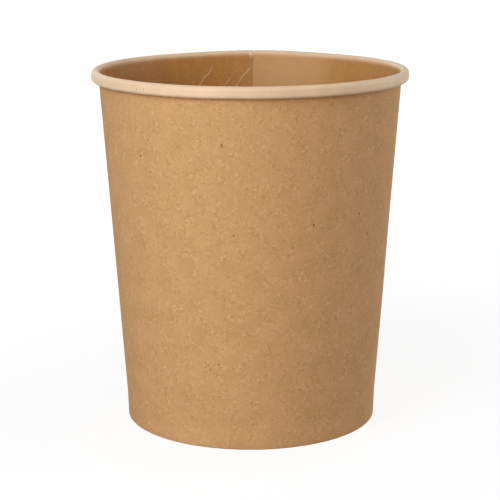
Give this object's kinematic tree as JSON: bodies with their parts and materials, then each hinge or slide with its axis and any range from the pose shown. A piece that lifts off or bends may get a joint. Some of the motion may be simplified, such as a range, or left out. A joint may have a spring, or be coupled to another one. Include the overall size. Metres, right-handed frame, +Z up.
{
  "type": "paper soup cup",
  "caption": "Tall round soup cup of kraft paperboard, open at the top, with a rolled rim, a lapped side seam and a recessed bottom disc held in its folded foot.",
  "frame": {"origin": "on the table under the middle of the cup, level with the foot", "axes": "+Z up along the cup's axis; +Y to the back, through the side seam; +X to the right as the picture is seen"},
  "size_m": [0.1172, 0.1174, 0.132],
  "materials": {
    "kraft_wall": "matt brown kraft board outside, thin clear coating inside, paler and stretched over the roll",
    "kraft_disc": "brown kraft board with a thin clear coating on top, matt underneath"
  },
  "bodies": {
    "root": {"side_wall": "kraft_wall", "bottom_disc": "kraft_disc"}
  },
  "joints": []
}
